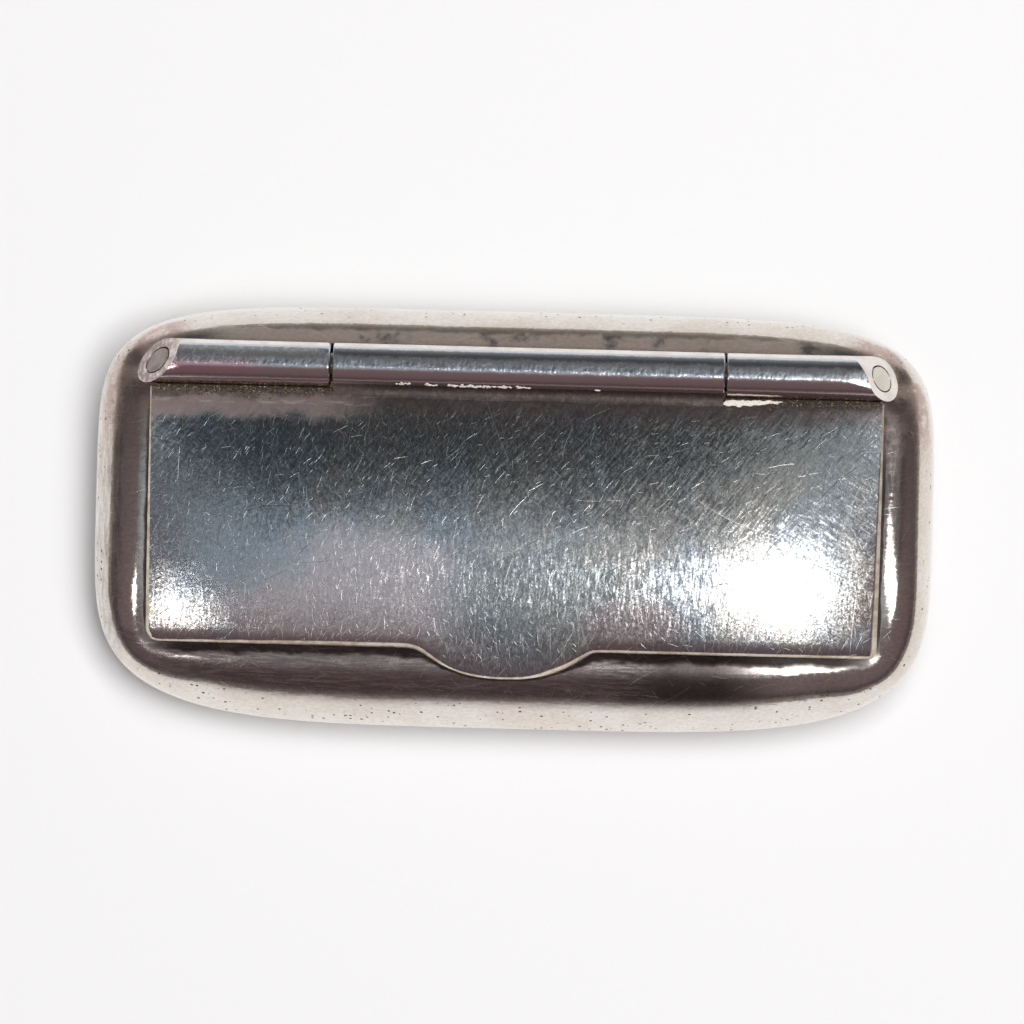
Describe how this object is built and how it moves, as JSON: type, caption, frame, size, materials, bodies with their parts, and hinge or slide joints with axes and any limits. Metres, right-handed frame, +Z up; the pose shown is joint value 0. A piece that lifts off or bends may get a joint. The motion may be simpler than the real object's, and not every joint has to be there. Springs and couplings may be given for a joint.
{
  "type": "snuff box",
  "caption": "Cushion-shaped pocket snuff box with a domed lid, a thumbpiece on its front edge and a full-length barrel hinge.",
  "frame": {"origin": "middle of the flat base, on the surface that the box stands on", "axes": "+X to the right along the box's length, +Y to the hinge at the back, +Z up through the lid"},
  "size_m": [0.07, 0.0348, 0.0138],
  "materials": {
    "case_silver": "old polished silver, finely scratched",
    "lid_silver": "silver with many fine scratches in every direction and a light grey tarnish",
    "hinge_silver": "silver worn bright on its edges, with dark grime in the joints",
    "pin_silver": "filed silver",
    "gilt_silver": "worn satin gilding over silver"
  },
  "bodies": {
    "case": {"base_shell": "case_silver", "upper_shell": "case_silver", "hinge_seat": "gilt_silver", "left_knuckle": "hinge_silver", "right_knuckle": "hinge_silver", "hinge_pin": "pin_silver", "left_end_plug": "pin_silver", "right_end_plug": "pin_silver", "rim_liner_left": "gilt_silver", "rim_liner_right": "gilt_silver", "rim_liner_front": "gilt_silver"},
    "lid": {"lid_panel": "lid_silver", "lid_knuckle": "hinge_silver", "lid_bearer": "gilt_silver", "lid_flange_left": "gilt_silver", "lid_flange_right": "gilt_silver", "lid_flange_front": "gilt_silver"}
  },
  "joints": [
    {"name": "lid_hinge", "type": "hinge", "parent": "case", "child": "lid", "pos_m": [0, 0.01245, 0.012], "axis": [-1, 0, 0], "range_deg": [0, 100]}
  ]
}
